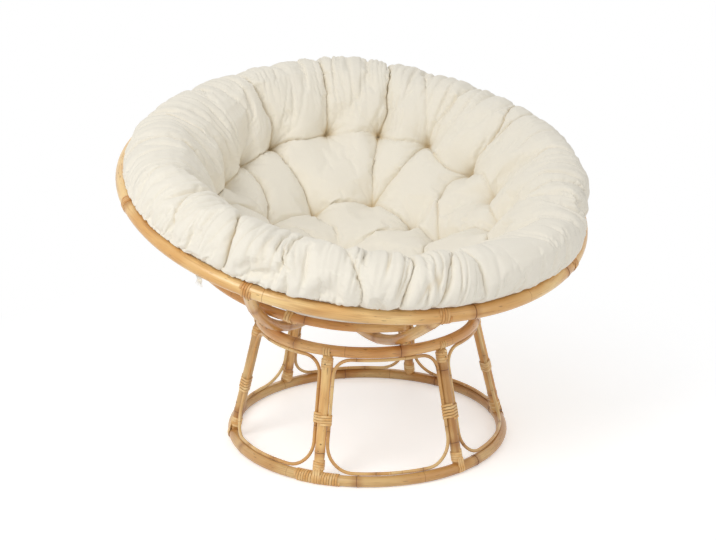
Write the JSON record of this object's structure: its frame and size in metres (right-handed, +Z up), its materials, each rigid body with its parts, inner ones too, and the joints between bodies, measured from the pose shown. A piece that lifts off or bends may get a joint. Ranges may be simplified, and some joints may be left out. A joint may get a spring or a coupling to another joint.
{
  "type": "papasan chair",
  "caption": "Round rattan chair: a bowl of bent poles rests tilted in the top ring of a flared pole stand and holds a deep tufted cushion.",
  "frame": {"origin": "on the floor, under the middle of the outline box", "axes": "+Z up; the low side of the bowl, where one sits down, faces -Y; +X to the right of someone who faces the chair from there"},
  "size_m": [1.0976, 1.0804, 0.8135],
  "materials": {
    "rattan_pole": "satin",
    "thin_cane": "satin",
    "rattan_peel": "satin",
    "cotton_cloth": "matte",
    "cotton_tape": "matte"
  },
  "bodies": {
    "stand": {"cane_loop_1": "thin_cane", "cane_loop_2": "thin_cane", "cane_loop_3": "thin_cane", "cane_loop_4": "thin_cane", "cane_loop_5": "thin_cane", "cane_loop_6": "thin_cane", "floor_ring": "rattan_pole", "floor_ring_wrap": "rattan_peel", "foot_binding_1": "rattan_peel", "foot_binding_2": "rattan_peel", "foot_binding_3": "rattan_peel", "foot_binding_4": "rattan_peel", "foot_binding_5": "rattan_peel", "foot_binding_6": "rattan_peel", "head_binding_1": "rattan_peel", "head_binding_2": "rattan_peel", "head_binding_3": "rattan_peel", "head_binding_4": "rattan_peel", "head_binding_5": "rattan_peel", "head_binding_6": "rattan_peel", "leg_1": "rattan_pole", "leg_2": "rattan_pole", "leg_3": "rattan_pole", "leg_4": "rattan_pole", "leg_5": "rattan_pole", "leg_6": "rattan_pole", "leg_binding_1": "rattan_peel", "leg_binding_2": "rattan_peel", "leg_binding_3": "rattan_peel", "leg_binding_4": "rattan_peel", "leg_binding_5": "rattan_peel", "leg_binding_6": "rattan_peel", "top_ring": "rattan_pole"},
    "bowl": {"cushion_tie": "cotton_tape", "low_hoop": "rattan_pole", "mid_hoop": "rattan_pole", "mid_hoop_binding": "rattan_peel", "mid_hoop_splice": "rattan_pole", "rib_1": "rattan_pole", "rib_2": "rattan_pole", "rib_3": "rattan_pole", "rib_4": "rattan_pole", "rib_5": "rattan_pole", "rib_6": "rattan_pole", "rib_7": "rattan_pole", "rib_8": "rattan_pole", "rim": "rattan_pole", "rim_binding_1": "rattan_peel", "rim_binding_2": "rattan_peel", "rim_binding_3": "rattan_peel", "rim_binding_4": "rattan_peel", "rim_binding_5": "rattan_peel", "rim_binding_6": "rattan_peel", "rim_binding_7": "rattan_peel", "rim_binding_8": "rattan_peel"},
    "cushion": {"cushion": "cotton_cloth"}
  },
  "joints": [
    {"name": "bowl_tilt", "type": "hinge", "parent": "stand", "child": "bowl", "pos_m": [0, -0.05099, 0.88767], "axis": [1, 0, 0], "range_deg": [-14.4, 6]},
    {"name": "cushion_lift", "type": "slide", "parent": "bowl", "child": "cushion", "axis": [0, -0.2487, 0.9686], "range_m": [0, 0.35]}
  ]
}
